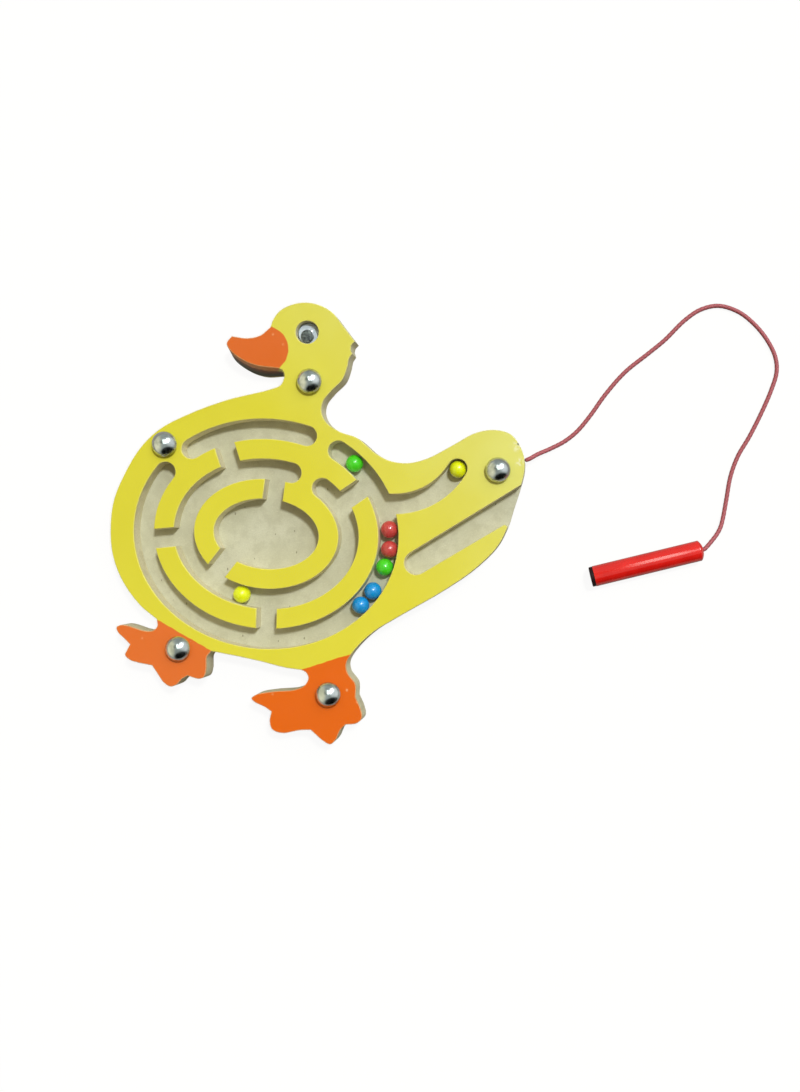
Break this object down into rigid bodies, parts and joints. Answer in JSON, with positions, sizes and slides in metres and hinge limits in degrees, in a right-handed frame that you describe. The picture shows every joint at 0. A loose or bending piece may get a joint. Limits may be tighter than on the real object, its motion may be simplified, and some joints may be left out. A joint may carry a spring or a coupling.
{
  "type": "magnetic maze board",
  "caption": "Duck-shaped hand-held maze board with coloured balls under a clear cover and a magnetic wand on a cord.",
  "frame": {"origin": "centre of the maze's rings on the back face, which lies on the table", "axes": "+X towards the tail and the wand (right in the picture), +Y towards the head (up in the picture), +Z out of the painted face"},
  "size_m": [0.2694, 0.1783, 0.0161],
  "materials": {
    "back_board": "bare medium density fibreboard, pale grey-beige",
    "painted_board": "glossy yellow paint with orange beak and feet, bare fibreboard at the cut sides",
    "clear_sheet": "clear acrylic sheet, polished",
    "chrome_posts": "mirror",
    "zinc_screws": "bright zinc plating",
    "white_plastic": "glossy white",
    "dark_plastic": "glossy dark grey",
    "clear_dome": "clear moulded plastic",
    "yellow_balls": "glossy yellow paint on steel",
    "green_balls": "glossy green paint on steel",
    "red_balls": "glossy red paint on steel",
    "blue_balls": "glossy blue paint on steel",
    "cord": "red braided cord, matt",
    "red_wand": "glossy red lacquer",
    "magnet": "dark ferrite, matt"
  },
  "bodies": {
    "board": {"base_board": "back_board", "maze_frame": "painted_board", "wall_lower_left": "painted_board", "wall_lower_right": "painted_board", "wall_inner_left": "painted_board", "clear_cover": "clear_sheet", "post_head": "chrome_posts", "post_shoulder": "chrome_posts", "post_tail": "chrome_posts", "post_left_foot": "chrome_posts", "post_right_foot": "chrome_posts", "screw_head": "zinc_screws", "screw_shoulder": "zinc_screws", "screw_tail": "zinc_screws", "screw_left_foot": "zinc_screws", "screw_right_foot": "zinc_screws", "eye_cup": "white_plastic", "eye_lens": "clear_dome", "cord_loop": "cord"},
    "green_top_ball": {"ball_green_top": "green_balls"},
    "red_upper_ball": {"ball_red_upper": "red_balls"},
    "red_lower_ball": {"ball_red_lower": "red_balls"},
    "green_right_ball": {"ball_green_right": "green_balls"},
    "blue_upper_ball": {"ball_blue_upper": "blue_balls"},
    "blue_lower_ball": {"ball_blue_lower": "blue_balls"},
    "yellow_inner_ball": {"ball_yellow_inner": "yellow_balls"},
    "yellow_tail_ball": {"ball_yellow_tail": "yellow_balls"},
    "pupil": {"eye_pupil": "dark_plastic"},
    "lead": {"cord": "cord", "wand_plug": "red_wand"},
    "wand": {"wand_tube": "red_wand", "wand_magnet": "magnet"}
  },
  "joints": [
    {"name": "green_top_roll", "type": "hinge", "parent": "board", "child": "green_top_ball", "pos_m": [0.00554, -0.00397, 0.0068], "axis": [0, 0, 1], "range_deg": [-30.3, 9.5]},
    {"name": "red_upper_roll", "type": "hinge", "parent": "board", "child": "red_upper_ball", "pos_m": [0.00982, -0.00173, 0.0068], "axis": [0, 0, 1], "range_deg": [-0.86, 32.2]},
    {"name": "red_lower_roll", "type": "hinge", "parent": "board", "child": "red_lower_ball", "pos_m": [0.0129, -0.00122, 0.0068], "axis": [0, 0, 1], "range_deg": [0, 0.93]},
    {"name": "green_right_roll", "type": "hinge", "parent": "board", "child": "green_right_ball", "pos_m": [0.01181, -0.00089, 0.0068], "axis": [0, 0, 1], "range_deg": [-4.56, 0]},
    {"name": "blue_upper_roll", "type": "hinge", "parent": "board", "child": "blue_upper_ball", "pos_m": [0.00986, 0.00015, 0.0068], "axis": [0, 0, 1], "range_deg": [0, 4.5]},
    {"name": "blue_lower_roll", "type": "hinge", "parent": "board", "child": "blue_lower_ball", "pos_m": [0.00171, 0.01015, 0.0068], "axis": [0, 0, 1], "range_deg": [-50.4, 0]},
    {"name": "yellow_inner_roll", "type": "hinge", "parent": "board", "child": "yellow_inner_ball", "pos_m": [0.00144, 0.01375, 0.0068], "axis": [0, 0, 1], "range_deg": [-23.7, 34.9]},
    {"name": "yellow_tail_roll", "type": "hinge", "parent": "board", "child": "yellow_tail_ball", "pos_m": [0.0516, 0.041, 0.0068], "axis": [0, 0, 1], "range_deg": [-54, 0]},
    {"name": "pupil_spin", "type": "hinge", "parent": "board", "child": "pupil", "pos_m": [0.0164, 0.0807, 0.008], "axis": [0, 0, 1], "continuous": true},
    {"name": "lead_swing", "type": "hinge", "parent": "board", "child": "lead", "pos_m": [0.1034, 0.0297, 0.0047], "axis": [0, 0, 1], "range_deg": [-35, 35]},
    {"name": "wand_roll", "type": "hinge", "parent": "lead", "child": "wand", "pos_m": [0.153, -0.0119, 0.0042], "axis": [0.9718, 0.236, 0], "continuous": true}
  ]
}
